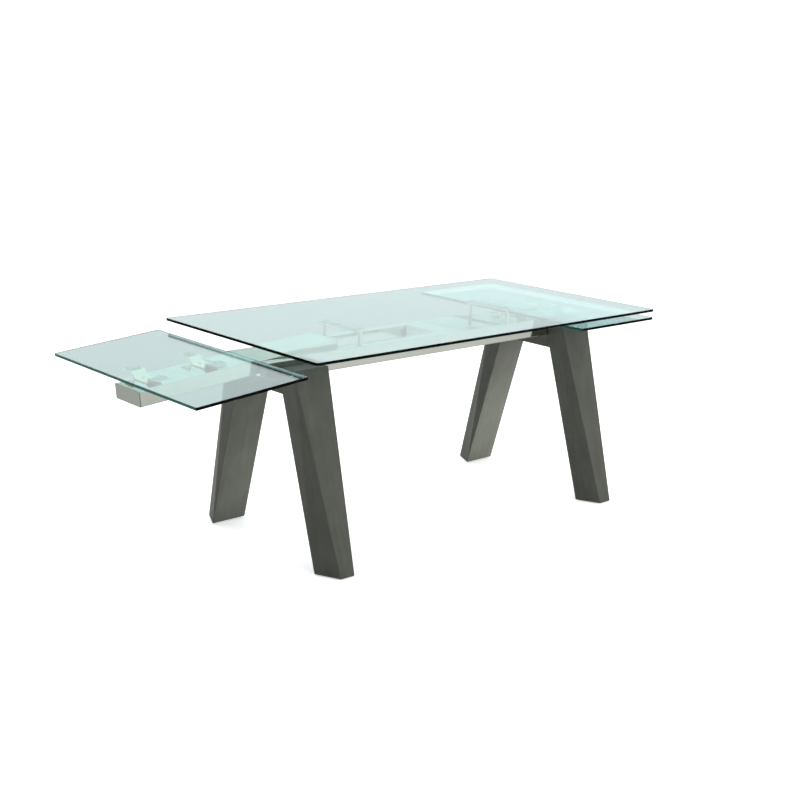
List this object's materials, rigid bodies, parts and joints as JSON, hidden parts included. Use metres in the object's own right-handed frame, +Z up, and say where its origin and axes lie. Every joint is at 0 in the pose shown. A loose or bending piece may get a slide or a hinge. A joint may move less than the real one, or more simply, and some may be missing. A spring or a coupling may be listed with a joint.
{
  "type": "extendable dining table",
  "caption": "Glass dining table on two splayed trestles, with a glass leaf on a sliding beam at each end; one leaf drawn out, the other stowed under the top.",
  "frame": {"origin": "centre of the footprint of the whole table at floor level, with the left leaf drawn out and the right leaf stowed", "axes": "+X along the table's length towards the stowed leaf, +Y across it towards the back, +Z up"},
  "size_m": [2.0292, 0.89, 0.755],
  "materials": {
    "clear_glass": "polished clear float glass, faint cyan tint, dark green edges",
    "polished_steel": "polished stainless steel",
    "zinc_steel": "satin zinc-plated steel",
    "grey_veneer": "satin grey-stained veneer with a fine straight grain",
    "white_nylon": "satin moulded nylon",
    "black_rubber": "matt rubber",
    "clear_pad": "translucent cast pad"
  },
  "bodies": {
    "frame": {"main_glass": "clear_glass", "front_rail": "polished_steel", "back_rail": "polished_steel", "front_rail_cap_left": "polished_steel", "front_rail_cap_right": "polished_steel", "back_rail_cap_left": "polished_steel", "back_rail_cap_right": "polished_steel", "left_cross_beam": "grey_veneer", "left_bridge": "polished_steel", "left_bridge_pad": "clear_pad", "front_left_leg": "grey_veneer", "front_left_glide": "black_rubber", "front_left_bolt": "zinc_steel", "front_left_post": "polished_steel", "back_left_leg": "grey_veneer", "back_left_glide": "black_rubber", "back_left_bolt": "zinc_steel", "back_left_post": "polished_steel", "right_cross_beam": "grey_veneer", "right_bridge": "polished_steel", "right_bridge_pad": "clear_pad", "front_right_leg": "grey_veneer", "front_right_glide": "black_rubber", "front_right_bolt": "zinc_steel", "front_right_post": "polished_steel", "back_right_leg": "grey_veneer", "back_right_glide": "black_rubber", "back_right_bolt": "zinc_steel", "back_right_post": "polished_steel"},
    "left_saddle": {"left_saddle": "white_nylon", "left_saddle_pin": "zinc_steel"},
    "left_leaf": {"left_beam": "polished_steel", "left_nose_cap": "polished_steel", "left_inner_cap": "white_nylon", "left_guide_pin": "zinc_steel", "front_left_roller": "white_nylon", "back_left_roller": "white_nylon", "left_inner_support": "polished_steel", "left_outer_support": "polished_steel", "front_left_inner_pad": "clear_pad", "back_left_inner_pad": "clear_pad", "front_left_outer_pad": "clear_pad", "back_left_outer_pad": "clear_pad", "left_leaf_glass": "clear_glass"},
    "right_saddle": {"right_saddle": "white_nylon", "right_saddle_pin": "zinc_steel"},
    "right_leaf": {"right_beam": "polished_steel", "right_nose_cap": "polished_steel", "right_inner_cap": "white_nylon", "right_guide_pin": "zinc_steel", "front_right_roller": "white_nylon", "back_right_roller": "white_nylon", "right_inner_support": "polished_steel", "right_outer_support": "polished_steel", "front_right_inner_pad": "clear_pad", "back_right_inner_pad": "clear_pad", "front_right_outer_pad": "clear_pad", "back_right_outer_pad": "clear_pad", "right_leaf_glass": "clear_glass"}
  },
  "joints": [
    {"name": "left_lean", "type": "hinge", "parent": "frame", "child": "left_saddle", "pos_m": [-0.5314, 0, 0.634], "axis": [0, 1, 0], "range_deg": [0, 5.15]},
    {"name": "left_slide", "type": "slide", "parent": "left_saddle", "child": "left_leaf", "axis": [0.996, 0, 0.0898], "range_m": [0, 0.425]},
    {"name": "right_lean", "type": "hinge", "parent": "frame", "child": "right_saddle", "pos_m": [0.9606, 0, 0.634], "axis": [0, 1, 0], "range_deg": [0, 5.15]},
    {"name": "right_slide", "type": "slide", "parent": "right_saddle", "child": "right_leaf", "axis": [1, 0, 0], "range_m": [0, 0.425]}
  ],
  "couplings": [
    {"joint": "left_lean", "follows": "left_slide", "rad_per_m": 0.21149},
    {"joint": "right_lean", "follows": "right_slide", "rad_per_m": 0.21149}
  ]
}
